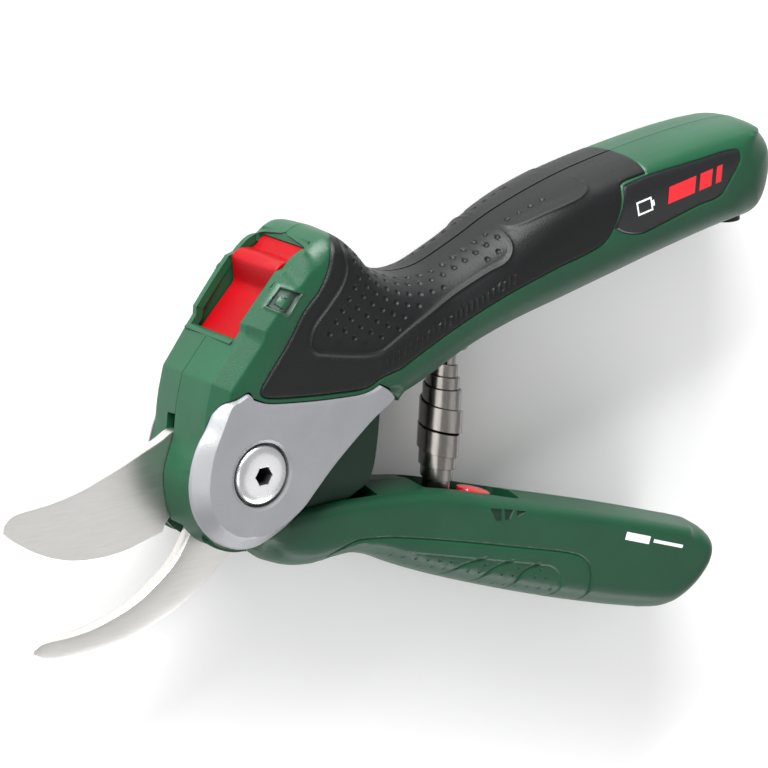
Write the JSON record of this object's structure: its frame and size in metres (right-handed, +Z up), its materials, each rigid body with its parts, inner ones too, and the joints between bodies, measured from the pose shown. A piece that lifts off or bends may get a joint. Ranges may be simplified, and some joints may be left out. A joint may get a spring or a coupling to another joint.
{
  "type": "battery electric pruner",
  "caption": "Cordless bypass pruner whose upper handle holds cell and motor, a pivoting lower handle with cutting blade, a hooked counter blade, a volute return spring and a lock slide.",
  "frame": {"origin": "centre of the footprint on the surface the tool lies on", "axes": "+X from the blade tips to the handle ends, +Y from the lower handle to the lock slide, +Z up through the thickness, from the right side to the left side"},
  "size_m": [0.2428, 0.1326, 0.0345],
  "materials": {
    "green_plastic": "satin moulded",
    "soft_black": "fine matt",
    "cast_cover": "satin",
    "label_panel": "satin",
    "blade_steel": "ground",
    "bolt_steel": "polished",
    "red_plastic": "satin",
    "spring_steel": "rolled strip",
    "cell_sleeve": "shrink sleeve",
    "motor_steel": "drawn",
    "gear_plastic": "moulded",
    "nut_brass": "turned",
    "board": "lacquered",
    "red_lens": "clear tinted"
  },
  "bodies": {
    "housing": {"housing_left": "green_plastic", "housing_right": "green_plastic", "grip_left": "soft_black", "grip_right": "soft_black", "cover_plate_left": "cast_cover", "cover_plate_right": "cast_cover", "label_left": "label_panel", "label_right": "label_panel", "counter_blade": "blade_steel", "pivot_bolt": "bolt_steel", "pivot_nut": "bolt_steel", "collar_left": "bolt_steel", "collar_right": "bolt_steel", "detent_spring": "spring_steel", "battery_cell": "cell_sleeve", "motor": "motor_steel", "gearbox": "gear_plastic", "circuit_board": "board", "charge_socket": "motor_steel", "sense_switch": "gear_plastic", "return_spring": "spring_steel", "upper_spring_seat": "gear_plastic", "body_screw_1": "bolt_steel", "body_screw_2": "bolt_steel", "body_screw_3": "bolt_steel", "body_screw_4": "bolt_steel", "body_screw_5": "bolt_steel", "body_screw_6": "bolt_steel", "hook_screw_1": "bolt_steel", "hook_screw_2": "bolt_steel"},
    "lever": {"cutting_blade": "blade_steel", "drive_pin": "bolt_steel", "handle_left": "green_plastic", "handle_right": "green_plastic", "status_lens": "red_lens", "lower_spring_seat": "gear_plastic", "handle_screw_1": "bolt_steel", "handle_screw_2": "bolt_steel", "handle_screw_3": "bolt_steel", "handle_screw_4": "bolt_steel"},
    "lock": {"lock_slider": "red_plastic", "lock_bar": "bolt_steel"},
    "drive_nut": {"spindle_nut": "nut_brass", "link_pin": "bolt_steel"},
    "link": {"push_link": "bolt_steel"},
    "drive_screw": {"spindle": "bolt_steel"},
    "flap": {"port_cover": "soft_black"}
  },
  "joints": [
    {"name": "handle_squeeze", "type": "hinge", "parent": "housing", "child": "lever", "pos_m": [-0.056, -0.00062, 0.017], "axis": [0, 0, 1], "range_deg": [0, 24], "stiffness_Nm_per_rad": 2.5, "springref_deg": -17.19, "deforming": ["return_spring"]},
    {"name": "lock_slide", "type": "slide", "parent": "housing", "child": "lock", "axis": [-0.6743, -0.7385, 0], "range_m": [0, 0.007]},
    {"name": "nut_slide", "type": "slide", "parent": "housing", "child": "drive_nut", "axis": [-0.9578, -0.2874, 0], "range_m": [0, 0.00414]},
    {"name": "link_swing", "type": "hinge", "parent": "drive_nut", "child": "link", "pos_m": [-0.03255, 0.01697, 0.017], "axis": [0, 0, -1], "range_deg": [0, 14.91]},
    {"name": "spindle_spin", "type": "hinge", "parent": "housing", "child": "drive_screw", "pos_m": [-0.02077, 0.0205, 0.017], "axis": [-0.9578, -0.2874, 0], "continuous": true},
    {"name": "port_flap", "type": "hinge", "parent": "housing", "child": "flap", "pos_m": [0.1076, 0.03798, 0.017], "axis": [0, 0, -1], "range_deg": [0, 80]}
  ],
  "couplings": [
    {"joint": "nut_slide", "follows": "handle_squeeze", "m_per_rad": 0.00965},
    {"joint": "link_swing", "follows": "handle_squeeze", "ratio": 0.61283},
    {"joint": "spindle_spin", "follows": "handle_squeeze", "ratio": 30.316}
  ]
}
